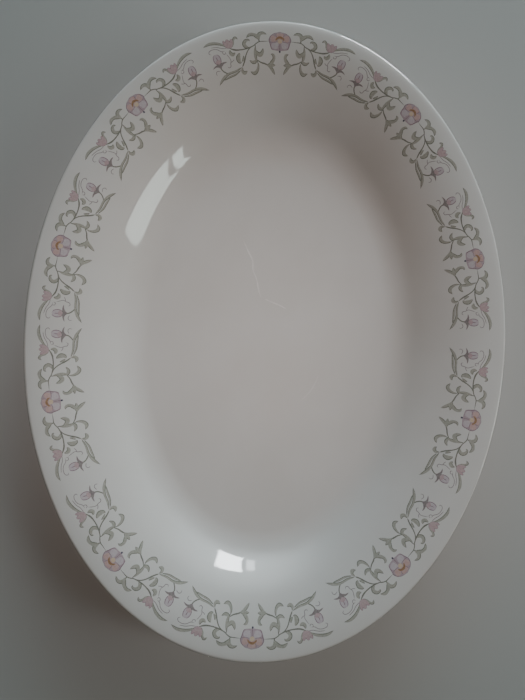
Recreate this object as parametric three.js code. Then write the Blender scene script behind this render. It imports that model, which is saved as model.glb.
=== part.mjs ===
// An oval porcelain serving dish: a one-piece biscuit body with its foot ring, the glaze fired over it,
// a platinum line round the edge and ten printed sprays on the rim.
// Millimetres, +Z up. The origin is the centre of the plane that the foot ring stands on, +Y along the dish.
import * as THREE from "three";
import { mergeGeometries } from "three/addons/utils/BufferGeometryUtils.js";

// ---- Driving dimensions ----
const LENGTH = 350; // over the platinum line, along Y
const WIDTH = 262; // over the platinum line, along X
const GLAZE = 0.25; // thickness of the glaze
const FILM = 0.1; // thickness of the platinum line and of the printed films
const SEAT = 0.06; // clearance under a film, which takes up the twist of the facets below it

const WALL = 4.2; // body thickness in the well's side, from where the rim thins towards the edge
const LIP = 1.6; // radius of the rounded edge
const FLOOR_REACH = 69; // half width of the flat floor
const FLOOR_Z = 8; // upper face of the floor
const BASE_Z = 3; // under face of the floor, inside the foot ring
const SIDE_RADIUS = 25; // hollow curve from the floor up into the side
const SIDE_SLOPE = THREE.MathUtils.degToRad(42); // where the hollow side turns into the crowned rim
const RIM_SLOPE = THREE.MathUtils.degToRad(3); // where the crowned rim meets the rounded edge
const RIM_FACETS = 8; // facets across the crowned rim

const FOOT_INNER = 69.2; // standing face of the foot ring, as half widths
const FOOT_OUTER = 72.8;
const FOOT_EDGE = 0.7; // chamfer on both edges of the standing face, where the glaze stops
const FOOT_BASE = 66.2; // where the foot ring runs out into the base
const FOOT_TOP = 75.4; // where it runs out into the side

const SPRAYS = 10;
const SPRAY_SPANS = 6; // facets along one printed film, with one more facet in the gap to the next
const SPRAY_LENGTH = 79.6; // of one film, along the band
const FILM_OUTER = 6.4; // the films' edges, measured inwards from the edge of the dish
const FILM_INNER = 30.6;
// The films were laid by hand: each one's shift from its even place, along the band and then inwards.
const LAID_ALONG = [-0.4, -0.1, 1.3, 4.9, 8.1, 5.1, 5.3, 6, 2, 3.4];
const LAID_INWARDS = [0.1, 1.3, 1.3, 1.5, 1.2, -0.2, -0.3, 0.1, 0.4, 0.6];

const HALF_WIDTH = WIDTH / 2 - SEAT - FILM - GLAZE; // of the bare body
const OVAL = (LENGTH - WIDTH) / 2; // how much longer than wide each half of the dish is

// ---- Materials ----
function material(color, roughness, metalness = 0) {
  return new THREE.MeshStandardMaterial({ color, roughness, metalness });
}
const biscuit = material(0xe9e4da, 0.75);
const glaze = material(0xeceeea, 0.08);
const platinum = material(0xc9c6c2, 0.15, 1);
const print = material(0xa7ac9c, 0.2);

// ---- Oval plan ----
// A half width r in the section becomes an oval of half width r and half length r + OVAL.
// The middle of the dish stays a single point.
function ovalPoint(angle, r, z) {
  const halfLength = r > 0 ? r + OVAL : 0;
  return new THREE.Vector3(r * Math.sin(angle), -halfLength * Math.cos(angle), z);
}

// The oval along the middle of the printed band, which the facets divide into runs of arc.
const bandMiddle = WIDTH / 2 - (FILM_OUTER + FILM_INNER) / 2;
const bandOval = new THREE.EllipseCurve(0, 0, bandMiddle, bandMiddle + OVAL, -Math.PI / 2, 1.5 * Math.PI);
bandOval.arcLengthDivisions = 4000;
const BAND_LENGTH = bandOval.getLength();

// Facet lines: SPRAY_SPANS + 1 to each spray, so that a film's two ends fall on facet lines.
const SPRAY_FACETS = SPRAY_SPANS + 1;
const STATIONS = SPRAYS * SPRAY_FACETS;
function stationAngle(station) {
  const spray = Math.floor(station / SPRAY_FACETS);
  const span = (station % SPRAY_FACETS) / SPRAY_SPANS - 0.5;
  const along = (spray * BAND_LENGTH) / SPRAYS + LAID_ALONG[spray] + span * SPRAY_LENGTH;
  const share = THREE.MathUtils.euclideanModulo(along / BAND_LENGTH, 1);
  return 2 * Math.PI * bandOval.getUtoTmapping(share);
}

// ---- Section, as half width and height, from the middle of the base round the edge to the floor ----
const sideCentre = new THREE.Vector2(FLOOR_REACH, FLOOR_Z + SIDE_RADIUS);
const steepest = new THREE.Vector2(Math.sin(SIDE_SLOPE), -Math.cos(SIDE_SLOPE));
const sideTop = sideCentre.clone().addScaledVector(steepest, SIDE_RADIUS);
const lipTopReach = HALF_WIDTH - LIP - LIP * Math.sin(RIM_SLOPE);
const rimRadius = (lipTopReach - sideTop.x) / (Math.sin(SIDE_SLOPE) - Math.sin(RIM_SLOPE));
const rimCentre = sideTop.clone().addScaledVector(steepest, rimRadius);

function arc(centre, radius, from, to, steps) {
  return new THREE.ArcCurve(centre.x, centre.y, radius, from, to, to < from).getPoints(steps);
}

const UP = Math.PI / 2;
const DOWN = -Math.PI / 2;
const rim = arc(rimCentre, rimRadius, UP + RIM_SLOPE, UP + SIDE_SLOPE, RIM_FACETS); // from the edge inwards
const lipCentre = rim[0].clone().lerp(rimCentre, LIP / rimRadius);
const rimUnderside = rim.map((point, i) => {
  const thickness = THREE.MathUtils.lerp(2 * LIP, WALL, i / RIM_FACETS);
  return point.clone().lerp(rimCentre, thickness / rimRadius);
});
const base = [
  new THREE.Vector2(0, BASE_Z),
  new THREE.Vector2(FOOT_BASE, BASE_Z),
  new THREE.Vector2(FOOT_INNER - FOOT_EDGE, FOOT_EDGE),
];
const standingFace = [new THREE.Vector2(FOOT_INNER, 0), new THREE.Vector2(FOOT_OUTER, 0)];
const underRadius = SIDE_RADIUS + WALL;
const footAngle = DOWN + Math.asin((FOOT_TOP - FLOOR_REACH) / underRadius);
const underside = [
  new THREE.Vector2(FOOT_OUTER + FOOT_EDGE, FOOT_EDGE),
  ...arc(sideCentre, underRadius, footAngle, DOWN + SIDE_SLOPE, 2),
  ...rimUnderside.slice(1, -1).reverse(),
];
const lip = [...arc(lipCentre, LIP, DOWN + RIM_SLOPE, 0, 2), ...arc(lipCentre, LIP, 0, UP + RIM_SLOPE, 2).slice(1)];
const upperFace = [
  ...rim.slice(1),
  ...arc(sideCentre, SIDE_RADIUS, DOWN + SIDE_SLOPE, DOWN, 3).slice(1),
  new THREE.Vector2(0, FLOOR_Z),
];
const outside = [...underside, ...lip, ...upperFace];

// The same run of points moved off the body by a distance, mitred at its corners.
function raised(points, distance) {
  return points.map((point, i) => {
    const arriving = point.clone().sub(points[i - 1] ?? point).normalize();
    const leaving = (points[i + 1] ?? point).clone().sub(point).normalize();
    const along = arriving.clone().add(leaving).normalize();
    const mitre = Math.max(arriving.dot(along), leaving.dot(along));
    return new THREE.Vector2(along.y, -along.x).multiplyScalar(distance / mitre).add(point);
  });
}

// ---- Sub-parts ----
// Turns an outline about the middle, then moves its points onto the oval plan.
function turned(outline) {
  const geometry = new THREE.LatheGeometry(outline, STATIONS);
  const position = geometry.attributes.position;
  for (let i = 0; i < position.count; i++) {
    const station = Math.floor(i / outline.length) % STATIONS;
    const { x: r, y: z } = outline[i % outline.length];
    position.setXYZ(i, ...ovalPoint(stationAngle(station), r, z));
  }
  return geometry;
}

function insideOut(geometry) {
  geometry.index.array.reverse();
  return geometry;
}

// A coat over a run of points, from one height above the body to another. Both of its faces are turned the
// same way round as the body, so that their facets are cut along the same diagonals.
function coat(points, from, to) {
  const lower = from > 0 ? raised(points, from) : points;
  const upper = raised(points, to);
  const faces = [turned(upper), insideOut(turned(lower))];
  const edges = [turned([lower[0], upper[0]]), turned([upper.at(-1), lower.at(-1)])];
  return mergeGeometries([...faces, ...edges]);
}

// The platinum line covers the outermost part of the lip.
function platinumLine() {
  return coat(lip.slice(1, -1), GLAZE + SEAT, GLAZE + SEAT + FILM);
}

// The run of the rim's facets between two half widths.
function runOfRim(outer, inner) {
  const at = (r) => {
    const i = rim.findIndex((point) => point.x < r);
    return rim[i].clone().lerp(rim[i - 1], (r - rim[i].x) / (rim[i - 1].x - rim[i].x));
  };
  return [at(outer), ...rim.filter((point) => point.x < outer && point.x > inner), at(inner)];
}

// One printed film: a flat sheet cut into facets, then laid along the rim over the glaze.
function sprayFilm(spray) {
  const edge = WIDTH / 2 - LAID_INWARDS[spray];
  const run = runOfRim(edge - FILM_OUTER, edge - FILM_INNER);
  const faces = [raised(run, GLAZE + SEAT), raised(run, GLAZE + SEAT + FILM)];
  const rows = run.length - 1;
  const sheet = new THREE.BoxGeometry(SPRAY_SPANS, rows, 1, SPRAY_SPANS, rows, 1);
  const position = sheet.attributes.position;
  for (let i = 0; i < position.count; i++) {
    const facet = Math.round(position.getX(i) + SPRAY_SPANS / 2);
    const row = Math.round(position.getY(i) + rows / 2);
    const { x: r, y: z } = faces[position.getZ(i) > 0 ? 1 : 0][row];
    position.setXYZ(i, ...ovalPoint(stationAngle(spray * SPRAY_FACETS + facet), r, z));
  }
  return sheet;
}

// ---- Assembly ----
const dish = new THREE.Group();
function add(name, geometry, finish) {
  const mesh = new THREE.Mesh(geometry, finish);
  mesh.name = name;
  dish.add(mesh);
}

add("porcelain_body", turned([...base, ...standingFace, ...outside]), biscuit);
add("glaze_coat", coat(outside, 0, GLAZE), glaze);
add("base_glaze", coat(base, 0, GLAZE), glaze);
add("platinum_line", platinumLine(), platinum);
for (let spray = 0; spray < SPRAYS; spray++) {
  add(`rim_spray_${String(spray + 1).padStart(2, "0")}`, sprayFilm(spray), print);
}

export default dish;
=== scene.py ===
"""An oval porcelain serving dish with a platinum edge and ten printed sprays on its rim.

Lengths are in metres, +Z is up, and the dish lies along +Y with its foot ring on the floor.
"""

import logging
import math
from collections.abc import Callable, Iterable
from dataclasses import dataclass, field
from enum import Enum

import bmesh
import bpy
import numpy as np
from mathutils import Matrix, Vector, noise


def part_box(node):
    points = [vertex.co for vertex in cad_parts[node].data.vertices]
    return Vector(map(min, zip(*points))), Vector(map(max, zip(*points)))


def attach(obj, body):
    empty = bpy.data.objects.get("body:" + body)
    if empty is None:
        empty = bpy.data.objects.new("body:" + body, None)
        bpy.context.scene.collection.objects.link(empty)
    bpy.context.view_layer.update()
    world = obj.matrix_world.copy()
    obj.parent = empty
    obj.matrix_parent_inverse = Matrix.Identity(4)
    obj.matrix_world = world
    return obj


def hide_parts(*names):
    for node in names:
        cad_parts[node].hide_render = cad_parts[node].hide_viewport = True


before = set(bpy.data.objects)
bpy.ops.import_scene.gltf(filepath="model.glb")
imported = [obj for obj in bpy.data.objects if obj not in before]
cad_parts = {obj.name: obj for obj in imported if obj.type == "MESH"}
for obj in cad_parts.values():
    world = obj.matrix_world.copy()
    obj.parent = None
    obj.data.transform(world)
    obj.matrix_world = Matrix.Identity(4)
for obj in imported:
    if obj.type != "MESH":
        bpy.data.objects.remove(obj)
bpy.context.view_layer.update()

log = logging.getLogger("dish")

MM = 0.001
GLAZE_THICKNESS = 0.25 * MM
SEAT = 0.008  # under a printed film, in millimetres
FILM = 0.018  # thickness of one printed colour, in millimetres
CRISP_FROM = math.radians(40)  # edges that bend more than this are shaded crisp
WELD_REACH = 1e-7  # points of an outline nearer than this become one
OVAL_ROUNDS = 8  # rounds of Newton's method that find the oval through a point
MIDDLE = 0.5  # of a light, whose face runs from 0 to 1 each way
MIX_SHARE, MIX_FIRST, MIX_SECOND, MIX_RESULT = 0, 6, 7, 2  # the sockets of a colour mix, by place

Colour = tuple[float, float, float]
Points = tuple[tuple[float, float, float], ...]  # a middle line with its width: (x, y, width)


# ---- Finishes ----
class Nodes:
    """A material's node tree, with short calls for adding and joining its nodes."""

    def __init__(self, name: str) -> None:
        """Starts a material.

        Args:
            name: The material's name.
        """
        self.material = bpy.data.materials.new(name)
        self.material.use_nodes = True
        self.tree = self.material.node_tree
        self.shader = self.tree.nodes["Principled BSDF"]
        coordinates = self.tree.nodes.new("ShaderNodeTexCoord")
        self.place = coordinates.outputs["Object"]

    def add(self, kind: str, **inputs: object) -> bpy.types.Node:
        """Adds a node and sets its inputs.

        Args:
            kind: The node's type, without its ShaderNode prefix.
            inputs: A value or an output socket for each input, with spaces in its name as underscores.

        Returns:
            The new node.
        """
        node = self.tree.nodes.new("ShaderNode" + kind)
        self.feed(node, **inputs)
        return node

    def feed(self, node: bpy.types.Node, **inputs: object) -> None:
        """Sets or links some inputs of a node.

        Args:
            node: The node.
            inputs: A value or an output socket for each input, with spaces in its name as underscores.
        """
        for name, value in inputs.items():
            socket = node.inputs[name.replace("_", " ")]
            if isinstance(value, bpy.types.NodeSocket):
                self.tree.links.new(value, socket)
            else:
                socket.default_value = value

    def clouds(self, size: float, detail: float = 2.0, roughness: float = 0.5) -> bpy.types.NodeSocket:
        """Adds soft noise over the piece.

        Args:
            size: The width of one cloud, in metres.
            detail: How many finer layers it has.
            roughness: How strong the finer layers are.

        Returns:
            The noise's value socket.
        """
        node = self.add("TexNoise", Vector=self.place, Scale=1 / size, Detail=detail, Roughness=roughness)
        return node.outputs["Fac"]

    def ramp(self, value: bpy.types.NodeSocket, low: float, high: float, start: float = 0.0,
             end: float = 1.0) -> bpy.types.NodeSocket:
        """Maps a stretch of a value onto another, held at both ends.

        Args:
            value: The value to map.
            low: Where the stretch begins.
            high: Where it ends.
            start: The result at its beginning.
            end: The result at its end.

        Returns:
            The mapped value's socket.
        """
        node = self.add("MapRange", Value=value, From_Min=low, From_Max=high, To_Min=start, To_Max=end)
        return node.outputs["Result"]

    def paint(self, share: bpy.types.NodeSocket, first: Colour, second: Colour) -> None:
        """Colours the surface with a mix of two colours.

        Args:
            share: How much of the second colour shows.
            first: The first colour.
            second: The second colour.
        """
        node = self.tree.nodes.new("ShaderNodeMix")
        node.data_type = "RGBA"
        self.tree.links.new(share, node.inputs[MIX_SHARE])
        node.inputs[MIX_FIRST].default_value = (*first, 1.0)
        node.inputs[MIX_SECOND].default_value = (*second, 1.0)
        self.feed(self.shader, Base_Color=node.outputs[MIX_RESULT])

    def bump(self, height: bpy.types.NodeSocket, depth: float) -> None:
        """Gives the surface a relief.

        Args:
            height: The relief's height, from 0 to 1.
            depth: The depth that 1 stands for, in metres.
        """
        node = self.add("Bump", Height=height, Distance=depth)
        self.feed(self.shader, Normal=node.outputs["Normal"])


@dataclass(frozen=True)
class GlazeFinish:
    """Clear gloss glaze over white porcelain, with the light haze and hairlines that serving leaves."""

    name: str = "porcelain_glaze"
    white: Colour = (0.735, 0.735, 0.715)
    thin_white: Colour = (0.705, 0.700, 0.675)
    ior: float = 1.52
    polished: float = 0.035
    hazed: float = 0.09
    pool_size: float = 45 * MM
    haze_size: float = 14 * MM
    ripple_size: float = 16 * MM
    ripple_depth: float = 0.012 * MM

    def material(self) -> bpy.types.Material:
        """Returns the finish as a material."""
        nodes = Nodes(self.name)
        pooling = nodes.ramp(nodes.clouds(self.pool_size, detail=3), 0.35, 0.65)
        nodes.paint(pooling, self.white, self.thin_white)
        haze = nodes.clouds(self.haze_size, detail=6, roughness=0.7)
        roughness = nodes.ramp(haze, 0.45, 0.75, self.polished, self.hazed)
        nodes.feed(nodes.shader, Roughness=roughness, IOR=self.ior)
        nodes.bump(nodes.clouds(self.ripple_size), self.ripple_depth)
        return nodes.material


@dataclass(frozen=True)
class RubbedGlazeFinish:
    """Glaze that a knife or a stacked dish has rubbed pale and a little dull."""

    name: str = "rubbed_glaze"
    pale: Colour = (0.82, 0.81, 0.79)
    clear: Colour = (0.75, 0.745, 0.725)
    roughness: float = 0.3
    patch_size: float = 3 * MM

    def material(self) -> bpy.types.Material:
        """Returns the finish as a material."""
        nodes = Nodes(self.name)
        patches = nodes.ramp(nodes.clouds(self.patch_size, detail=4, roughness=0.6), 0.42, 0.62)
        nodes.paint(patches, self.pale, self.clear)
        nodes.feed(nodes.shader, Roughness=self.roughness)
        return nodes.material


@dataclass(frozen=True)
class BiscuitFinish:
    """Bare fired porcelain where the glaze is wiped off, with fine grain and grey rubbing from shelves."""

    name: str = "bare_porcelain"
    clean: Colour = (0.70, 0.66, 0.59)
    rubbed: Colour = (0.42, 0.40, 0.37)
    roughness: float = 0.7
    smoothing: float = 0.2
    rubbed_size: float = 3 * MM
    grain_size: float = 0.35 * MM
    grain_depth: float = 0.03 * MM

    def material(self) -> bpy.types.Material:
        """Returns the finish as a material."""
        nodes = Nodes(self.name)
        rubbing = nodes.ramp(nodes.clouds(self.rubbed_size, detail=5, roughness=0.7), 0.52, 0.72, end=0.8)
        nodes.paint(rubbing, self.clean, self.rubbed)
        smooth = self.roughness - self.smoothing
        nodes.feed(nodes.shader, Roughness=nodes.ramp(rubbing, 0, 1, self.roughness, smooth))
        nodes.bump(nodes.clouds(self.grain_size, detail=3), self.grain_depth)
        return nodes.material


@dataclass(frozen=True)
class PlatinumFinish:
    """Fired platinum lustre, bright where it is whole and dull where washing has thinned it."""

    name: str = "platinum_lustre"
    bright: Colour = (0.66, 0.65, 0.63)
    worn: Colour = (0.40, 0.385, 0.36)
    polished: float = 0.14
    dulled: float = 0.38
    wear_size: float = 5 * MM
    brush_size: float = 0.8 * MM
    brush_depth: float = 0.004 * MM

    def material(self) -> bpy.types.Material:
        """Returns the finish as a material."""
        nodes = Nodes(self.name)
        wear = nodes.ramp(nodes.clouds(self.wear_size, detail=6, roughness=0.75), 0.5, 0.68)
        nodes.paint(wear, self.bright, self.worn)
        roughness = nodes.ramp(wear, 0, 1, self.polished, self.dulled)
        nodes.feed(nodes.shader, Roughness=roughness, Metallic=1.0)
        nodes.bump(nodes.clouds(self.brush_size, detail=3), self.brush_depth)
        return nodes.material


@dataclass(frozen=True)
class InkFinish:
    """A ceramic printing colour, fired glossy, with the thin and full places of a transfer."""

    name: str
    full: Colour
    thin: Colour
    roughness: float = 0.13
    grain_size: float = 0.9 * MM

    def material(self) -> bpy.types.Material:
        """Returns the finish as a material."""
        nodes = Nodes(self.name)
        grain = nodes.ramp(nodes.clouds(self.grain_size, detail=4, roughness=0.65), 0.4, 0.65)
        nodes.paint(grain, self.full, self.thin)
        nodes.feed(nodes.shader, Roughness=self.roughness)
        return nodes.material


@dataclass(frozen=True)
class FloorFinish:
    """A plain pale floor with a faint mottle."""

    name: str = "pale_floor"
    light: Colour = (0.56, 0.55, 0.53)
    shade: Colour = (0.53, 0.52, 0.50)
    roughness: float = 0.85
    mirroring: float = 0.1
    mottle_size: float = 0.2

    def material(self) -> bpy.types.Material:
        """Returns the finish as a material."""
        nodes = Nodes(self.name)
        mottle = nodes.clouds(self.mottle_size, detail=3)
        nodes.paint(mottle, self.light, self.shade)
        nodes.feed(nodes.shader, Roughness=self.roughness, Specular_IOR_Level=self.mirroring)
        return nodes.material


class Ink(Enum):
    """The printing colours of a spray."""

    SAGE_LINE = InkFinish("ink_sage_line", (0.20, 0.205, 0.17), (0.275, 0.28, 0.24))
    SAGE_FILL = InkFinish("ink_sage_fill", (0.39, 0.39, 0.34), (0.48, 0.475, 0.42))
    MAUVE_LINE = InkFinish("ink_mauve_line", (0.27, 0.19, 0.23), (0.35, 0.26, 0.30))
    MAUVE_FILL = InkFinish("ink_mauve_fill", (0.45, 0.36, 0.40), (0.51, 0.43, 0.46))
    CALYX = InkFinish("ink_calyx", (0.27, 0.235, 0.235), (0.35, 0.32, 0.315))
    PINK = InkFinish("ink_pink", (0.52, 0.38, 0.40), (0.58, 0.47, 0.48))
    LILAC = InkFinish("ink_lilac", (0.56, 0.50, 0.54), (0.62, 0.58, 0.60))
    PEACH = InkFinish("ink_peach", (0.57, 0.39, 0.37), (0.61, 0.47, 0.45))
    AMBER = InkFinish("ink_amber", (0.34, 0.20, 0.11), (0.43, 0.28, 0.17))
    CREAM = InkFinish("ink_cream", (0.66, 0.52, 0.37), (0.68, 0.58, 0.46))
    NAVY = InkFinish("ink_navy", (0.09, 0.085, 0.13), (0.14, 0.13, 0.17))


# ---- The dish's shape ----
@dataclass(frozen=True)
class OvalPlan:
    """Ovals nested in plan: a half width r has the half length r + stretch.

    Attributes:
        stretch: How much longer than wide each half of an oval is.
        flat_reach: Inside this half width the stretch fades to nothing, at the middle of the dish.
    """

    stretch: float
    flat_reach: float

    def half_length(self, r: float) -> float:
        """Finds how long an oval is.

        Args:
            r: Its half width.

        Returns:
            Its half length.
        """
        return r + self.stretch * min(1.0, r / self.flat_reach)

    def points(self, angles: np.ndarray, r: float) -> np.ndarray:
        """Finds an oval's points.

        Args:
            angles: Where they lie, as angles from -Y towards +X.
            r: The oval's half width.

        Returns:
            The point at each angle, in plan.
        """
        return np.column_stack((r * np.sin(angles), -self.half_length(r) * np.cos(angles)))

    def outwards(self, angles: np.ndarray, r: float) -> np.ndarray:
        """Finds an oval's outward directions.

        Args:
            angles: Where they are taken, as angles from -Y towards +X.
            r: The oval's half width.

        Returns:
            The direction at each angle, in plan.
        """
        normals = np.column_stack((self.half_length(r) * np.sin(angles), -r * np.cos(angles)))
        return normals / np.linalg.norm(normals, axis=1)[:, None]

    def half_widths(self, points: np.ndarray) -> np.ndarray:
        """Finds the ovals that run through some points outside the flat middle.

        Args:
            points: The points, in plan.

        Returns:
            The half width of each point's oval.
        """
        r = np.maximum(self.flat_reach, np.linalg.norm(points, axis=1) - self.stretch)
        for _ in range(OVAL_ROUNDS):
            across = points[:, 0] / r
            along = points[:, 1] / (r + self.stretch)
            slope = 2 * (across**2 / r + along**2 / (r + self.stretch))
            r = r + (across**2 + along**2 - 1) / slope
        return r


@dataclass(frozen=True)
class Section:
    """The body's section across the dish, as half width and height.

    The floor turns up through a hollow curve into the side, and the side turns over into the crowned rim,
    which runs out almost level into a round lip.
    """

    half_width: float
    wall: float = 4.2 * MM
    lip: float = 1.6 * MM
    floor_reach: float = 69 * MM
    floor_height: float = 8 * MM
    base_height: float = 3 * MM
    side_radius: float = 25 * MM
    side_slope: float = math.radians(42)
    rim_slope: float = math.radians(3)
    foot_base: float = 66.2 * MM
    foot_inner: float = 69.2 * MM
    foot_outer: float = 72.8 * MM
    foot_edge: float = 0.7 * MM
    foot_top: float = 75.4 * MM

    @property
    def side_centre(self) -> Vector:
        """The centre of the hollow curve."""
        return Vector((self.floor_reach, self.floor_height + self.side_radius))

    @property
    def rim_radius(self) -> float:
        """The radius of the crowned rim, which meets the hollow curve where the side is steepest."""
        start = self.floor_reach + self.side_radius * math.sin(self.side_slope)
        end = self.half_width - self.lip - self.lip * math.sin(self.rim_slope)
        return (end - start) / (math.sin(self.side_slope) - math.sin(self.rim_slope))

    @property
    def rim_centre(self) -> Vector:
        """The centre of the crowned rim's curve."""
        steepest = Vector((math.sin(self.side_slope), -math.cos(self.side_slope)))
        return self.side_centre + steepest * (self.side_radius + self.rim_radius)

    @property
    def lip_centre(self) -> Vector:
        """The centre of the round lip, under the outer end of the crowned rim."""
        upwards = Vector((-math.sin(self.rim_slope), math.cos(self.rim_slope)))
        return self.rim_centre + upwards * (self.rim_radius - self.lip)

    def rim_surface(self, r: np.ndarray) -> tuple[np.ndarray, np.ndarray]:
        """Finds the rim's upper face at some half widths.

        Args:
            r: The half widths.

        Returns:
            The height of each, and the sine of its slope.
        """
        slope = (self.rim_centre.x - r) / self.rim_radius
        return self.rim_centre.y + self.rim_radius * np.sqrt(1 - slope**2), slope


class Outline:
    """A run of edges in the section's plane, drawn as a potter's template is cut: straights and arcs."""

    def __init__(self, mesh: bmesh.types.BMesh, r: float, z: float) -> None:
        """Starts a run.

        Args:
            mesh: The mesh that the run is drawn in.
            r: The first point's half width.
            z: Its height.
        """
        self.mesh = mesh
        self.start = self.tip = mesh.verts.new((r, 0, z))

    def line_to(self, r: float, z: float, steps: int = 1) -> None:
        """Draws a straight to a point.

        Args:
            r: The point's half width.
            z: Its height.
            steps: How many edges the straight has.
        """
        stride = (Vector((r, 0, z)) - self.tip.co) / steps
        for _ in range(steps):
            made = bmesh.ops.extrude_vert_indiv(self.mesh, verts=[self.tip])
            self.tip = made["verts"][0]
            self.tip.co += stride

    def arc(self, centre: Vector, angle: float, steps: int, growth: float = 0.0) -> None:
        """Draws an arc on from the run's end.

        Args:
            centre: The arc's centre, as half width and height.
            angle: How far it turns, positive from outwards towards up.
            steps: How many edges it has.
            growth: How much its radius grows from its start to its end.
        """
        arm = Vector((self.tip.co.x, self.tip.co.z)) - centre
        for step in range(1, steps + 1):
            share = step / steps
            reach = Matrix.Rotation(angle * share, 2) @ arm * (1 + growth * share / arm.length)
            made = bmesh.ops.extrude_vert_indiv(self.mesh, verts=[self.tip])
            self.tip = made["verts"][0]
            self.tip.co = (centre.x + reach.x, 0, centre.y + reach.y)


@dataclass(frozen=True)
class DishShape:
    """The oval plan and the section together, and the runs of outline that the layers share.

    Attributes:
        plan: The plan.
        section: The section.
        steps_round: How many facets a turned outline has round the dish.
    """

    plan: OvalPlan
    section: Section
    steps_round: int = 320

    def draw_base(self, mesh: bmesh.types.BMesh, offset: float) -> Outline:
        """Draws the base from the middle to the foot ring's inner edge.

        Args:
            mesh: The mesh to draw in.
            offset: How far outside the body the run lies.

        Returns:
            The run.
        """
        s = self.section
        run = Outline(mesh, 0, s.base_height - offset)
        wall = Vector((s.foot_inner - s.foot_edge - s.foot_base, s.foot_edge - s.base_height))
        turn = math.atan2(-wall.y, wall.x)
        corner = s.foot_base - offset * math.tan(turn / 2)
        run.line_to(corner - s.foot_edge, s.base_height - offset, steps=12)
        fall = wall.normalized()
        run.line_to(corner + s.foot_edge * fall.x, s.base_height - offset + s.foot_edge * fall.y, steps=2)
        end = Vector((s.foot_inner - s.foot_edge, s.foot_edge)) + Vector((fall.y, -fall.x)) * offset
        run.line_to(end.x, end.y, steps=3)
        return run

    def draw_outside(self, mesh: bmesh.types.BMesh, offset: float) -> Outline:
        """Draws the outside from the foot ring's outer edge, under and over the rim, to the middle.

        Args:
            mesh: The mesh to draw in.
            offset: How far outside the body the run lies.

        Returns:
            The run.
        """
        s = self.section
        under = s.side_radius + s.wall
        foot_turn = math.asin((s.foot_top - s.floor_reach) / under)
        top = s.side_centre + Vector((math.sin(foot_turn), -math.cos(foot_turn))) * (under + offset)
        edge = Vector((s.foot_outer + s.foot_edge, s.foot_edge))
        rise = (top - edge).normalized()
        start = edge + Vector((rise.y, -rise.x)) * offset
        run = Outline(mesh, start.x, start.y)
        run.line_to(top.x, top.y, steps=4)
        run.arc(s.side_centre, s.side_slope - foot_turn, steps=8)
        run.arc(s.rim_centre, s.rim_slope - s.side_slope, steps=14, growth=s.wall - 2 * s.lip)
        run.arc(s.lip_centre, math.pi, steps=14)
        run.arc(s.rim_centre, s.side_slope - s.rim_slope, steps=24)
        run.arc(s.side_centre, -s.side_slope, steps=16)
        run.line_to(0, s.floor_height + offset, steps=12)
        return run

    def turn(self, mesh: bmesh.types.BMesh) -> None:
        """Turns the mesh's outlines about the middle and draws the result out into an oval.

        Args:
            mesh: The mesh, which holds only outlines.
        """
        bmesh.ops.spin(mesh, geom=mesh.verts[:] + mesh.edges[:], cent=(0, 0, 0), axis=(0, 0, 1),
                       angle=math.tau, steps=self.steps_round, use_merge=True)
        bmesh.ops.remove_doubles(mesh, verts=mesh.verts[:], dist=WELD_REACH)
        for vert in mesh.verts:
            r = math.hypot(vert.co.x, vert.co.y)
            if r > 0:
                vert.co.y *= self.plan.half_length(r) / r
        bmesh.ops.recalc_face_normals(mesh, faces=mesh.faces[:])


# ---- Pieces ----
def finished_piece(name: str, mesh: bmesh.types.BMesh, materials: Iterable[bpy.types.Material], node: str) -> None:
    """Makes an object of a mesh and hands it to the frame.

    Args:
        name: The piece's name.
        mesh: Its shape, which is freed.
        materials: Its materials, in the order that its faces number them.
        node: The node of the frame that it stands for.
    """
    data = bpy.data.meshes.new(name)
    mesh.to_mesh(data)
    mesh.free()
    data.shade_smooth()
    data.set_sharp_from_angle(angle=CRISP_FROM)
    for material in materials:
        data.materials.append(material)
    piece = bpy.data.objects.new(name, data)
    bpy.context.scene.collection.objects.link(piece)
    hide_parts(node)
    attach(piece, "root")
    log.info("%s: %d faces, in place of %s", name, len(data.polygons), node)


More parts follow.
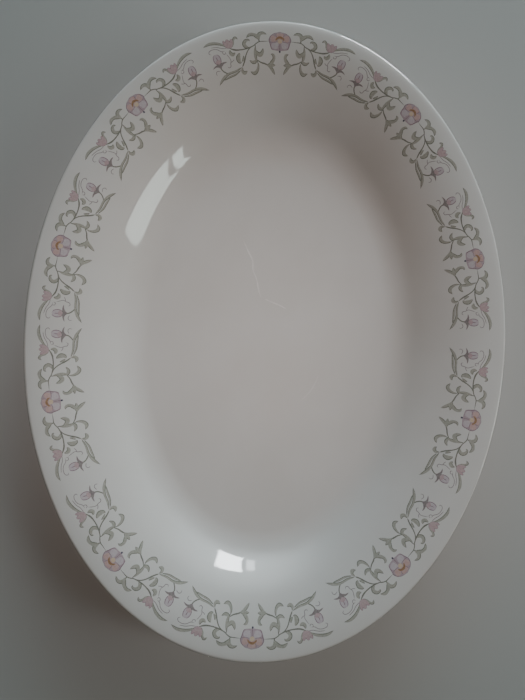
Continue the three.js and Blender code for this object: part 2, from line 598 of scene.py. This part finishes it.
@dataclass
class Body:
    """The one-piece porcelain body with its foot ring, and the glaze fired over it in two coats.

    Attributes:
        shape: The dish's shape.
        biscuit: The finish of the bare body.
        glaze: The finish of the glaze.
        rubbed: The finish of the glaze where it is rubbed.
        knife_marks: Rubbed lines on the floor of the well, as (x, y, width) in millimetres.
        standing_edge: How far the edges of the foot ring's standing face are rounded.
    """

    shape: DishShape
    biscuit: BiscuitFinish = field(default_factory=BiscuitFinish)
    glaze: GlazeFinish = field(default_factory=GlazeFinish)
    rubbed: RubbedGlazeFinish = field(default_factory=RubbedGlazeFinish)
    knife_marks: tuple[Points, ...] = (
        ((-18.6, 55, 0.4), (-15, 48, 0.8), (-12.2, 43, 0.9), (-11.4, 37, 0.7), (-9.1, 31.9, 0.6),
         (-6.4, 22.5, 0.5)),
        ((-3.5, 20.6, 0.4), (0.5, 19.1, 0.8), (5.6, 17.4, 0.8), (9.7, 15.4, 0.4)),
        ((-8.9, 31, 0.3), (-7.8, 26, 0.5), (-5.6, 21, 0.3)),
        ((-56.8, 76, 0.2), (-60, 71, 0.35), (-63.4, 65.5, 0.2)),
        ((21, -38, 0.2), (27, -31, 0.3), (31, -22, 0.2)),
    )
    standing_edge: float = 0.4 * MM

    def build(self) -> None:
        """Builds the body and both coats of glaze."""
        glaze = self.glaze.material()
        finished_piece("dish_body", self.body(), [self.biscuit.material()], "porcelain_body")
        outside = self.coat(self.shape.draw_outside)
        self.rub(outside)
        finished_piece("dish_glaze", outside, [glaze, self.rubbed.material()], "glaze_coat")
        finished_piece("dish_base_glaze", self.coat(self.shape.draw_base), [glaze], "base_glaze")

    def body(self) -> bmesh.types.BMesh:
        """Returns the body, closed round the foot ring's standing face."""
        mesh = bmesh.new()
        s = self.shape.section
        base = self.shape.draw_base(mesh, 0)
        outside = self.shape.draw_outside(mesh, 0)
        base.line_to(s.foot_inner, 0)
        inner = base.tip
        base.line_to(s.foot_outer, 0, steps=3)
        outer = base.tip
        mesh.edges.new((outer, outside.start))
        bmesh.ops.bevel(mesh, geom=[inner, outer], offset=self.standing_edge, offset_type="OFFSET",
                        segments=4, profile=0.5, affect="VERTICES", material=-1)
        self.shape.turn(mesh)
        return mesh

    def rub(self, mesh: bmesh.types.BMesh) -> None:
        """Adds the knife marks to the glaze.

        Args:
            mesh: The glaze of the upper face.
        """
        top = (self.shape.section.floor_height + GLAZE_THICKNESS) / MM - FILM / 2
        for points in self.knife_marks:
            verts = Bead(points, slot=1).add_to(mesh)
            bmesh.ops.scale(mesh, vec=(1, 1, 0.5), verts=verts)
            bmesh.ops.translate(mesh, vec=(0, 0, top), verts=verts)
            bmesh.ops.scale(mesh, vec=(MM, MM, MM), verts=verts)

    def coat(self, draw: Callable[[bmesh.types.BMesh, float], Outline]) -> bmesh.types.BMesh:
        """Builds one coat of glaze.

        Args:
            draw: Draws the run of outline that the coat covers.

        Returns:
            The coat, a closed shell on the body.
        """
        mesh = bmesh.new()
        over, under = draw(mesh, GLAZE_THICKNESS), draw(mesh, 0)
        edge = (over.start, under.start) if over.start.co.x > 0 else (over.tip, under.tip)
        mesh.edges.new(edge)
        self.shape.turn(mesh)
        return mesh


@dataclass
class PlatinumLine:
    """The platinum line, painted round the outermost part of the lip on a turning wheel.

    Attributes:
        shape: The dish's shape.
        finish: The line's finish.
        reach: How far up and down the lip it reaches, as an angle about the lip's centre.
        seat: The clearance under it.
        thickness: Its thickness.
        waver: How much the painter's hand wavers, as the same angle.
        sway: How many times the hand sways round the dish, roughly.
        tremble: How many times it trembles, roughly.
        tremble_share: How strong the tremble is beside the sway.
        edges_apart: How differently the line's two edges waver.
    """

    shape: DishShape
    finish: PlatinumFinish = field(default_factory=PlatinumFinish)
    reach: float = math.radians(50)
    seat: float = 0.01 * MM
    thickness: float = 0.04 * MM
    waver: float = math.radians(9)
    sway: float = 7
    tremble: float = 45
    tremble_share: float = 0.6
    edges_apart: float = 0.05

    def build(self) -> None:
        """Builds the line."""
        mesh = bmesh.new()
        under = self.draw(mesh, GLAZE_THICKNESS + self.seat)
        over = self.draw(mesh, GLAZE_THICKNESS + self.seat + self.thickness)
        mesh.edges.new((under.start, over.start))
        mesh.edges.new((under.tip, over.tip))
        self.shape.turn(mesh)
        self.waver_edges(mesh)
        finished_piece("dish_platinum_line", mesh, [self.finish.material()], "platinum_line")

    def draw(self, mesh: bmesh.types.BMesh, offset: float) -> Outline:
        """Draws the line's section.

        Args:
            mesh: The mesh to draw in.
            offset: How far outside the body it lies.

        Returns:
            The run.
        """
        s = self.shape.section
        radius = s.lip + offset
        start = s.lip_centre + Vector((math.cos(self.reach), -math.sin(self.reach))) * radius
        run = Outline(mesh, start.x, start.y)
        run.arc(s.lip_centre, 2 * self.reach, steps=12)
        return run

    def waver_edges(self, mesh: bmesh.types.BMesh) -> None:
        """Slides the line's two edges up and down the lip a little, as a brush does.

        Args:
            mesh: The turned line.
        """
        centre, stretch = self.shape.section.lip_centre, self.shape.plan.stretch
        half_widths = self.shape.plan.half_widths(np.array([vert.co.xy for vert in mesh.verts]))
        for vert, half_width in zip(mesh.verts, half_widths):
            arm = Vector((half_width - centre.x, vert.co.z - centre.y))
            angle = math.atan2(arm.y, arm.x)
            towards = Vector((*vert.co.xy, math.copysign(self.edges_apart, angle))).normalized()
            tremble = self.tremble_share * noise.noise(towards * self.tremble)
            drift = noise.noise(towards * self.sway) + tremble
            angle += self.waver * drift * (angle / self.reach) ** 2
            moved = centre.x + arm.length * math.cos(angle)
            vert.co.x *= moved / half_width
            vert.co.y *= (moved + stretch) / (half_width + stretch)
            vert.co.z = centre.y + arm.length * math.sin(angle)


# ---- Printed sprays ----
@dataclass(frozen=True)
class Layer:
    """One printed colour of a mark.

    Attributes:
        ink: The colour.
        inset: How far inside the mark's outline it stays, in millimetres.
        level: Its place in the order of printing, from the bottom.
        lean: How far it leans to one side of the mark, as a share of its width.
    """

    ink: Ink
    inset: float = 0.0
    level: int = 0
    lean: float = 0.0


class Mark(Enum):
    """The kinds of mark in a spray, each with its layers of colour."""

    LEAF = (Layer(Ink.SAGE_LINE), Layer(Ink.SAGE_FILL, 0.2, 1, 0.1))
    STEM = (Layer(Ink.SAGE_LINE),)
    TENDRIL = (Layer(Ink.CALYX),)
    CALYX = (Layer(Ink.CALYX, 0, 3),)
    TULIP_PETAL = (Layer(Ink.MAUVE_LINE), Layer(Ink.PINK, 0.2, 1))
    BUD = (Layer(Ink.MAUVE_LINE), Layer(Ink.LILAC, 0.4, 1))
    BUD_FLUSH = (Layer(Ink.PINK, 0, 2),)
    FLOWER = (Layer(Ink.MAUVE_LINE), Layer(Ink.MAUVE_FILL, 0.45, 1))
    UPPER_PETAL = (Layer(Ink.PEACH, 0, 2),)
    LOWER_PETAL = (Layer(Ink.LILAC, 0, 2),)
    HEART = (Layer(Ink.CREAM, 0, 3),)
    ARCH = (Layer(Ink.AMBER, 0, 4),)
    VEIN = (Layer(Ink.MAUVE_LINE, 0, 4),)
    SEED = (Layer(Ink.NAVY, 0, 3),)


@dataclass(frozen=True)
class Stroke:
    """One mark of the drawing.

    Attributes:
        mark: Its kind.
        points: Its middle line and width, as (along, inwards, width) in millimetres. Along is counted from
            the spray's middle and inwards from the edge of the dish.
    """

    mark: Mark
    points: Points


def alike(mark: Mark, *runs: Points) -> tuple[Stroke, ...]:
    """Makes several strokes of one kind.

    Args:
        mark: The kind.
        runs: Each stroke's middle line and width.

    Returns:
        The strokes, in the same order.
    """
    return tuple(Stroke(mark, points) for points in runs)


@dataclass(frozen=True)
class Bead:
    """One colour of a mark: a closed bead, drawn out along the mark and pressed flat.

    Attributes:
        points: The mark's middle line and width, in millimetres.
        slot: The number of the colour's material.
        inset: How far inside the mark's outline it stays.
        level: Its place in the order of printing, from the bottom.
        lean: How far it leans to one side of the mark, as a share of its width.
        sides: How many facets it has round it.
        rows_each: How many rows of facets it has for each point.
        samples: How many steps the mark's width is checked in.
        narrowest: The narrowest bead worth printing inside an outline.
        glance: How far ahead and behind its direction is taken, as a share of the mark.
        bluntness: How much blunter than a ball's its ends are.
    """

    points: Points
    slot: int
    inset: float = 0.0
    level: int = 0
    lean: float = 0.0
    sides: int = 8
    rows_each: int = 5
    samples: int = 40
    narrowest: float = 0.1
    glance: float = 0.02
    bluntness: float = 3.0

    def at(self, share: float) -> Vector:
        """Finds a place on the smooth curve through the points.

        Args:
            share: The share of the curve's run that lies before it.

        Returns:
            The place, with the mark's width there.
        """
        spans = len(self.points) - 1
        index = min(int(share * spans), spans - 1)
        t = share * spans - index
        ends = (index - 1, index, index + 1, index + 2)
        p0, p1, p2, p3 = (Vector(self.points[min(max(i, 0), spans)]) for i in ends)
        bend = (2 * p0 - 5 * p1 + 4 * p2 - p3) * t + (3 * p1 - 3 * p2 + p3 - p0) * t * t
        return p1 + 0.5 * t * ((p2 - p0) + bend)

    def reach(self) -> tuple[float, float] | None:
        """Returns where the mark is wide enough, as shares of its run, or none if it is too narrow."""
        if self.inset == 0:
            return 0.0, 1.0
        shares = [step / self.samples for step in range(self.samples + 1)]
        wide = [share for share in shares if self.at(share).z > 2 * self.inset + self.narrowest]
        return (wide[0], wide[-1]) if len(wide) > 3 else None

    def add_to(self, mesh: bmesh.types.BMesh) -> list[bmesh.types.BMVert]:
        """Adds the bead to a flat drawing.

        Args:
            mesh: The drawing, in millimetres: along, inwards and lift.

        Returns:
            The bead's vertices, or none if the mark is too narrow for the colour.
        """
        reach = self.reach()
        if reach is None:
            return []
        first, last = reach
        rows = max(self.sides, self.rows_each * len(self.points))
        verts = bmesh.ops.create_uvsphere(mesh, u_segments=self.sides, v_segments=rows, radius=1)["verts"]
        for vert in verts:
            share = first + (last - first) * math.acos(max(-1.0, min(1.0, vert.co.z))) / math.pi
            middle = self.at(share)
            ahead, behind = self.at(min(1.0, share + self.glance)), self.at(max(0.0, share - self.glance))
            run = (ahead - behind).xy.normalized()
            ring = vert.co.xy.length
            blunt = min(1.0, self.bluntness * ring)
            across, over = vert.co.xy / ring if ring > 1e-6 else (0.0, 0.0)
            aside = (middle.z / 2 - self.inset) * blunt * across + middle.z * self.lean
            lift = SEAT + FILM * (self.level + 0.5 + 0.5 * over * blunt)
            vert.co = (middle.x + run.y * aside, middle.y - run.x * aside, lift)
        for face in {face for vert in verts for face in vert.link_faces}:
            face.material_index = self.slot
        return verts


@dataclass(frozen=True)
class BandRuler:
    """Measures distance along the middle of the printed band, from the -Y end towards +X.

    Attributes:
        plan: The dish's plan.
        middle: The half width of the band's middle.
        steps: How many even steps of angle it is marked in.
    """

    plan: OvalPlan
    middle: float
    steps: int = 4000

    def marks(self) -> tuple[np.ndarray, np.ndarray]:
        """Returns the angle of each mark and its distance along the band."""
        angles = np.linspace(0, math.tau, self.steps + 1)
        points = self.plan.points(angles, self.middle)
        strides = np.linalg.norm(np.diff(points, axis=0), axis=1)
        return angles, np.concatenate(([0.0], np.cumsum(strides)))

    def angles_at(self, start: float, shifts: np.ndarray) -> np.ndarray:
        """Finds plan angles along the band.

        Args:
            start: The share of the band's length to start from.
            shifts: Distances from there.

        Returns:
            The plan angle at each distance.
        """
        angles, distances = self.marks()
        length = distances[-1]
        return np.interp((start * length + shifts) % length, distances, angles)


FLOWER_HALF = (
    Stroke(Mark.UPPER_PETAL, ((1.6, 11.7, 1.2), (2.9, 11.1, 3), (4, 10.9, 3.2), (4.9, 10.9, 1.6))),
    Stroke(Mark.LOWER_PETAL, ((0.9, 13, 1.2), (2.2, 14, 3.3), (3, 15, 3.6), (3.5, 15.9, 1.8))),
    Stroke(Mark.VEIN, ((1.3, 12.5, 0.2), (3, 12.8, 0.25), (5.3, 12.6, 0.25))),
    Stroke(Mark.VEIN, ((1.9, 8.3, 0.2), (2, 9.2, 0.25), (1.6, 10.2, 0.2))),
)
FLOWER_MIDDLE = (
    Stroke(Mark.FLOWER, ((0, 7.2, 2.6), (0, 8.3, 6.8), (0, 9.7, 10.2), (0, 11.6, 11.7), (0, 13.2, 10.9),
                         (0, 15, 10.1), (0, 16.3, 8.8), (0, 17.1, 5.6))),
    Stroke(Mark.UPPER_PETAL, ((0, 11.3, 1.8), (0, 10, 3.5), (0, 8.8, 4), (0, 8, 2.6))),
    Stroke(Mark.HEART, ((0, 11.2, 2), (0, 12.4, 2.4), (0, 13.4, 1.1))),
    Stroke(Mark.ARCH, ((-2.2, 12, 0.5), (-1.5, 10.8, 0.9), (0, 10.2, 1.2), (1.5, 10.8, 0.9),
                       (2.2, 12, 0.5))),
    Stroke(Mark.VEIN, ((0, 13.5, 0.25), (0, 15.2, 0.3), (0, 16.8, 0.35))),
    Stroke(Mark.SEED, ((0, 16.9, 0.7), (0, 17.5, 1), (0, 18, 0.7))),
)
LEAVES = alike(
    Mark.LEAF,
    # Crown leaf over the first stem: an inner and an outer lobe.
    ((10.6, 11.6, 0.6), (11, 9.6, 1.8), (10.2, 8.1, 1.9), (8.6, 7.7, 1.5), (6.7, 8.6, 0.4)),
    ((10.9, 11.2, 0.6), (11.9, 9.2, 2), (13.3, 8.2, 1.7), (15.2, 8, 1.7), (17.2, 9.4, 0.4)),
    # Curled leaf below its outer lobe.
    ((16.4, 14.4, 0.5), (18.2, 13.8, 1.7), (18.9, 12.3, 1.9), (17.9, 10.8, 1.7),
     (16.3, 10.5, 1), (15.7, 11.4, 0.4)),
    # Curled leaf that turns back towards the flower's foot.
    ((13.1, 16, 0.4), (12.5, 17.7, 1.9), (11, 18.6, 2.2), (9.7, 17.4, 1.8), (9.1, 15.4, 0.4)),
    # Leaf down the second stem, its short side leaf and the long leaf under them.
    ((13.2, 14.3, 0.5), (13.6, 16.8, 1.4), (13.7, 19.4, 1.6), (13.4, 21.4, 0.6)),
    ((12.8, 20.8, 0.5), (14.2, 21.7, 1.7), (15.8, 21.8, 1.5), (17.5, 20.6, 0.4)),
    ((12.7, 21.9, 0.5), (12.8, 24.2, 1.2), (13.9, 26.2, 1.7), (15.8, 27, 1.7), (18, 25.9, 0.4)),
    # Three leaves at the spray's middle.
    ((7.8, 23.4, 0.5), (5.9, 24.4, 1.4), (4.2, 26.2, 1.7), (2.6, 28.4, 0.5)),
    ((7.3, 23.6, 0.5), (5.6, 23.7, 1.9), (4.2, 23.9, 1.7), (2.4, 23.9, 0.4)),
    ((6.3, 23.3, 0.6), (4.4, 22.4, 1.9), (3.3, 20.8, 1.6), (3.6, 19.1, 1.4), (5.1, 18.5, 0.4)),
    # Comma leaf on the third stem.
    ((22.1, 21.1, 0.5), (23.3, 20.3, 1.9), (23.6, 18.6, 2.5), (22.8, 17.1, 1.6), (22, 16.3, 0.4)),
    ((21.8, 20.6, 0.5), (20.7, 19.4, 1.2), (20.2, 17.9, 0.4)),
    # Bract under the tulip.
    ((26.9, 13.6, 0.5), (27, 15.3, 1.8), (25.9, 16.2, 1.8), (24.4, 15.6, 0.5)),
    # Long leaf to the spray's end, and the long pair below it.
    ((28, 11.8, 0.4), (30.4, 9.8, 1.2), (33.2, 8.3, 1.6), (36.4, 7.6, 1.5), (39.6, 8.2, 0.4)),
    ((22.4, 23.1, 0.5), (26.6, 24.3, 1), (31.4, 24.6, 1.2), (35.4, 25.9, 1.5), (39.2, 28.2, 0.4)),
    ((23.4, 24.3, 0.4), (27.2, 25.7, 0.9), (31.2, 26.1, 1), (35.2, 26.7, 0.4)),
    ((22.2, 23.3, 0.5), (22.8, 24.9, 1.5), (21.7, 26, 1.8), (19.7, 25.4, 0.5)),
)
STEMS = alike(
    Mark.STEM,
    ((5.4, 12.1, 0.3), (8.4, 12.1, 0.35), (10.8, 12.1, 0.5), (12.6, 12.9, 0.5), (14, 13.8, 0.5),
     (17.5, 14.7, 0.6), (21.2, 14.8, 0.6), (24.6, 14.1, 0.8), (28.2, 11.8, 0.5)),
    ((10.7, 12.1, 0.5), (11, 10.8, 0.5), (11.3, 9.6, 0.25)),
    ((14.2, 13.8, 0.4), (16.8, 15.2, 0.5), (18.7, 17.5, 0.6), (20.5, 20.8, 0.7), (22.4, 23.3, 0.6)),
    ((13, 13.2, 0.4), (13.3, 16.5, 0.6), (13.4, 19.4, 0.6), (12.9, 22.4, 0.5)),
    ((13.2, 20.9, 0.4), (11, 22.3, 0.6), (8.6, 23.1, 0.7), (6.2, 24.2, 0.5)),
    ((34.7, 20, 0.7), (34.4, 21.8, 0.6), (33.2, 23.3, 0.6), (31.4, 24.5, 0.4)),
)
BLOOMS = (
    # Tulip with a curled sepal.
    Stroke(Mark.TULIP_PETAL, ((26.1, 12.9, 1), (25.5, 11.2, 2.1), (25, 9.6, 1.9), (24.7, 8.3, 0.6))),
    Stroke(Mark.TULIP_PETAL, ((26.8, 12.8, 0.9), (28, 11.2, 1.9), (28.7, 9.5, 1.6), (29, 8.1, 0.5))),
    Stroke(Mark.TULIP_PETAL, ((26.4, 12.9, 1), (26.8, 11, 2.3), (27, 9.3, 2.2), (27, 7.9, 0.7))),
    Stroke(Mark.LEAF, ((25.6, 12.8, 0.4), (24.4, 11, 0.9), (23.9, 9.2, 1.1), (22.7, 8.1, 1.2),
                       (21.5, 9.3, 0.5))),
    # Bud on its calyx.
    Stroke(Mark.BUD, ((34.7, 19.4, 1.6), (34.9, 17.8, 3.8), (35.1, 16, 4.3), (35.2, 14.4, 3.2),
                      (35.2, 13.7, 1.2))),
    Stroke(Mark.BUD_FLUSH, ((34.7, 19.2, 1.6), (34.8, 18.3, 3), (35, 17.3, 2.6), (35.1, 16.6, 1))),
    Stroke(Mark.VEIN, ((35, 16.9, 0.25), (35.1, 16, 0.4), (35.2, 15, 0.25))),
    Stroke(Mark.CALYX, ((30.2, 19, 0.3), (32.3, 18.9, 0.9), (34.5, 19.6, 1.6), (36.9, 19.3, 0.9),
                        (39.3, 20, 0.3))),
    Stroke(Mark.CALYX, ((33.4, 18.2, 0.3), (34.1, 19.6, 1.3), (34.7, 20.9, 0.7))),
    Stroke(Mark.CALYX, ((36, 18.2, 0.3), (35.3, 19.6, 1.2), (34.7, 20.9, 0.6))),
)
TENDRILS = alike(
    Mark.TENDRIL,
    ((29.6, 13.6, 0.25), (31.5, 13.2, 0.3), (33.2, 11.6, 0.3), (35.4, 10.9, 0.3),
                          (37.4, 11.2, 0.3), (38, 12.4, 0.3), (37, 13.1, 0.25)),
    ((28.2, 12.4, 0.25), (30.6, 11.8, 0.3), (33, 10.5, 0.3), (36, 9.7, 0.25)),
    ((31, 13.3, 0.25), (30.9, 14.6, 0.3), (29.8, 14.9, 0.3), (29.4, 14, 0.25)),
    ((29.4, 14.9, 0.25), (28.4, 17, 0.3), (27.9, 18.7, 0.3), (28.5, 20.2, 0.35),
                          (28.8, 21.5, 0.35), (30, 21.9, 0.3), (30.7, 21, 0.25)),
    ((26, 18.7, 0.25), (27.2, 19.4, 0.3), (28.4, 19.6, 0.25)),
    ((35.4, 22.2, 0.25), (37.2, 21.6, 0.3), (38.3, 22.4, 0.3), (38, 23.5, 0.25)),
)


@dataclass
class FloralBand:
    """The ten printed sprays, laid round the rim by hand.

    Attributes:
        shape: The dish's shape.
        edge: The half width of the dish's edge.
        middle_inwards: How far inside the edge the band's middle runs.
        laid_along: Each spray's shift from its even place, from the -Y end towards +X, in millimetres.
        laid_inwards: Each spray's shift towards the well, in millimetres.
    """

    shape: DishShape
    edge: float
    middle_inwards: float = 18.5 * MM
    laid_along: tuple[float, ...] = (-0.4, -0.1, 1.3, 4.9, 8.1, 5.1, 5.3, 6, 2, 3.4)
    laid_inwards: tuple[float, ...] = (0.1, 1.3, 1.3, 1.5, 1.2, -0.2, -0.3, 0.1, 0.4, 0.6)

    def build(self) -> None:
        """Builds every spray."""
        inks = [ink.value.material() for ink in Ink]
        drawing = self.drawing()
        flat = np.array([vert.co for vert in drawing.verts]) * MM
        ruler = BandRuler(self.shape.plan, self.edge - self.middle_inwards)
        for number, (along, inwards) in enumerate(zip(self.laid_along, self.laid_inwards), start=1):
            angles = ruler.angles_at((number - 1) / len(self.laid_along), flat[:, 0] + along * MM)
            spray = drawing.copy()
            for vert, place in zip(spray.verts, self.laid(ruler, angles, flat + (0, inwards * MM, 0))):
                vert.co = place
            finished_piece(f"floral_spray_{number:02d}", spray, inks, f"rim_spray_{number:02d}")
        drawing.free()

    def drawing(self) -> bmesh.types.BMesh:
        """Returns one spray drawn flat: both of its halves and then the middle of its flower."""
        mesh = bmesh.new()
        slots = {ink: number for number, ink in enumerate(Ink)}

        def draw(strokes: Iterable[Stroke]) -> None:
            """Draws some marks.

            Args:
                strokes: The marks, in the order that they are printed.
            """
            for stroke in strokes:
                for layer in stroke.mark.value:
                    Bead(stroke.points, slots[layer.ink], layer.inset, layer.level, layer.lean).add_to(mesh)

        draw(STEMS + TENDRILS + LEAVES + BLOOMS + FLOWER_HALF)
        other = bmesh.ops.duplicate(mesh, geom=mesh.verts[:] + mesh.edges[:] + mesh.faces[:])["geom"]
        mirrored = [item for item in other if isinstance(item, bmesh.types.BMVert)]
        bmesh.ops.scale(mesh, vec=(-1, 1, 1), verts=mirrored)
        draw(FLOWER_MIDDLE)
        bmesh.ops.recalc_face_normals(mesh, faces=mesh.faces[:])
        return mesh

    def laid(self, ruler: BandRuler, angles: np.ndarray, flat: np.ndarray) -> np.ndarray:
        """Lays the points of a flat drawing on the rim.

        Args:
            ruler: Measures along the band.
            angles: The plan angle of each point.
            flat: The points: along, inwards and lift.

        Returns:
            Where they come to lie on the dish.
        """
        plan, section = self.shape.plan, self.shape.section
        outwards = plan.outwards(angles, ruler.middle)
        feet = plan.points(angles, ruler.middle) + outwards * (self.middle_inwards - flat[:, 1:2])
        heights, slopes = section.rim_surface(plan.half_widths(feet))
        upwards = np.column_stack((-outwards * slopes[:, None], np.sqrt(1 - slopes**2)))
        return np.column_stack((feet, heights)) + upwards * (GLAZE_THICKNESS + flat[:, 2:3])


# ---- Studio ----
@dataclass(frozen=True)
class SoftLight:
    """A soft light that looks at the dish.

    Attributes:
        name: Its name.
        azimuth: Its direction from the dish in plan, in degrees from +X towards +Y.
        elevation: Its direction above the floor, in degrees.
        distance: How far off it stands.
        size: Its width and height.
        power: Its power in watts.
        colour: Its colour.
        cone: The angle of its cone in degrees, if it is a pool of light and not a window.
        seen: Whether the glaze mirrors it.
        glint_only: Whether it is only mirrored.
        feathered: Whether it fades towards its edges.
    """

    name: str
    azimuth: float
    elevation: float
    distance: float
    size: tuple[float, float]
    power: float
    colour: Colour = (1.0, 1.0, 1.0)
    cone: float = 0.0
    seen: bool = True
    glint_only: bool = False
    feathered: bool = False

    def build(self) -> None:
        """Sets the light up."""
        data = bpy.data.lights.new(self.name, "SPOT" if self.cone else "AREA")
        if self.cone:
            data.shadow_soft_size = self.size[0]
            data.spot_size = math.radians(self.cone)
            data.spot_blend = 1.0
        else:
            data.shape = "RECTANGLE"
            data.size, data.size_y = self.size
        data.energy = self.power
        data.color = self.colour
        lamp = bpy.data.objects.new(self.name, data)
        bpy.context.scene.collection.objects.link(lamp)
        across, up = math.radians(self.azimuth), math.radians(self.elevation)
        towards = Vector((math.cos(across) * math.cos(up), math.sin(across) * math.cos(up), math.sin(up)))
        lamp.location = towards * self.distance
        lamp.rotation_euler = towards.to_track_quat("Z", "Y").to_euler()
        lamp.visible_glossy = self.seen
        lamp.visible_diffuse = not self.glint_only
        if self.feathered:
            self.feather(data)

    def feather(self, data: bpy.types.Light) -> None:
        """Makes the light fade towards its edges.

        Args:
            data: The light.
        """
        data.use_nodes = True
        tree = data.node_tree
        geometry = tree.nodes.new("ShaderNodeNewGeometry")
        split = tree.nodes.new("ShaderNodeSeparateXYZ")
        tree.links.new(geometry.outputs["Parametric"], split.inputs["Vector"])
        product = tree.nodes.new("ShaderNodeMath")
        product.operation = "MULTIPLY"
        for side, factor in zip(("X", "Y"), product.inputs):
            fade = tree.nodes.new("ShaderNodeMath")
            fade.operation = "PINGPONG"
            fade.inputs[1].default_value = MIDDLE
            tree.links.new(split.outputs[side], fade.inputs[0])
            ease = tree.nodes.new("ShaderNodeMapRange")
            ease.interpolation_type = "SMOOTHSTEP"
            ease.inputs["From Max"].default_value = MIDDLE
            tree.links.new(fade.outputs[0], ease.inputs["Value"])
            tree.links.new(ease.outputs["Result"], factor)
        tree.links.new(product.outputs[0], tree.nodes["Emission"].inputs["Strength"])


@dataclass
class Studio:
    """The floor, the lights and the camera.

    Attributes:
        floor: The floor's finish.
        floor_reach: Its half width.
        eye: Where the camera is.
        aim: The place it looks at.
        roll: How far it is turned about its view.
        lens: Its focal length, in millimetres.
        sensor: Its sensor's width, in millimetres.
        sky: The colour of the light from all round.
        ambient: The strength of that light.
        lights: The lights. Some light the dish and are not mirrored in it, and the others are only mirrored.
    """

    floor: FloorFinish = field(default_factory=FloorFinish)
    floor_reach: float = 2.5
    eye: Vector = field(default_factory=lambda: Vector((-22.1, -28.1, 314.0)) * MM)
    aim: Vector = field(default_factory=lambda: Vector((-3.75, -10.2, 20.0)) * MM)
    roll: float = math.radians(3.57)
    lens: float = 27.0
    sensor: float = 36.0
    sky: Colour = (0.9, 1.0, 0.8)
    ambient: float = 0.05
    lights: tuple[SoftLight, ...] = (
        SoftLight("pool", 3, 86, 1.0, (0.15, 0.15), 20.5, (1.0, 0.76, 0.71), cone=20, seen=False),
        SoftLight("side_light", -6.5, 30, 1.5, (0.37, 0.8), 5.2, (0.84, 0.90, 0.93), seen=False),
        SoftLight("side_window", -6.8, 29.8, 1.5, (0.29, 0.36), 2.4, (0.86, 1.0, 0.95), glint_only=True),
        SoftLight("side_pane", -17.2, 31, 1.5, (0.09, 0.24), 0.6, (0.86, 1.0, 0.95), glint_only=True),
        SoftLight("far_light", 71, 31, 1.5, (0.62, 0.62), 2.4, seen=False),
        SoftLight("far_window", 67.5, 31, 1.5, (0.36, 0.34), 20.0, (0.92, 0.97, 1.0), glint_only=True),
        SoftLight("far_pane", 81.8, 31, 1.5, (0.13, 0.21), 1.1, (0.92, 0.97, 1.0), glint_only=True),
        SoftLight("bright_wall", 80, 34, 1.5, (3.0, 1.8), 80.0, (0.88, 0.97, 1.0), glint_only=True,
                  feathered=True),
        SoftLight("warm_wall", 15, 14, 2.0, (1.2, 0.7), 4.6, (1.0, 0.90, 0.72), seen=False),
        SoftLight("cool_wall", 84, 14, 2.0, (1.2, 0.7), 25.5, (0.60, 0.81, 0.92), seen=False),
    )

    def build(self) -> None:
        """Sets the studio up."""
        self.lay_floor()
        self.set_camera()
        for light in self.lights:
            light.build()
        world = bpy.data.worlds.new("studio")
        world.use_nodes = True
        background = world.node_tree.nodes["Background"]
        background.inputs["Color"].default_value = (*self.sky, 1.0)
        background.inputs["Strength"].default_value = self.ambient
        bpy.context.scene.world = world

    def lay_floor(self) -> None:
        """Lays the floor under the foot ring."""
        mesh = bmesh.new()
        bmesh.ops.create_grid(mesh, x_segments=4, y_segments=4, size=self.floor_reach)
        data = bpy.data.meshes.new("studio_floor")
        mesh.to_mesh(data)
        mesh.free()
        data.materials.append(self.floor.material())
        floor = bpy.data.objects.new("studio_floor", data)
        bpy.context.scene.collection.objects.link(floor)

    def set_camera(self) -> None:
        """Hangs the camera over the dish, nearly straight above it."""
        data = bpy.data.cameras.new("camera")
        data.lens = self.lens
        data.sensor_width = self.sensor
        camera = bpy.data.objects.new("camera", data)
        bpy.context.scene.collection.objects.link(camera)
        ahead = (self.aim - self.eye).normalized()
        right = ahead.cross(Vector((0, 1, 0))).normalized()
        right = Matrix.Rotation(-self.roll, 3, ahead) @ right
        axes = Matrix((right, right.cross(ahead), -ahead)).transposed()
        camera.matrix_world = Matrix.Translation(self.eye) @ axes.to_4x4()
        bpy.context.scene.camera = camera


def main() -> None:
    """Builds the dish and its studio, in order."""
    logging.basicConfig(level=logging.INFO, format="%(name)s: %(message)s")
    body_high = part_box("porcelain_body")[1]
    section = Section(half_width=body_high[0])
    shape = DishShape(OvalPlan(body_high[1] - body_high[0], section.floor_reach), section)
    Body(shape).build()
    PlatinumLine(shape).build()
    FloralBand(shape, edge=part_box("platinum_line")[1][0]).build()
    Studio().build()


if __name__ == "__main__":
    main()
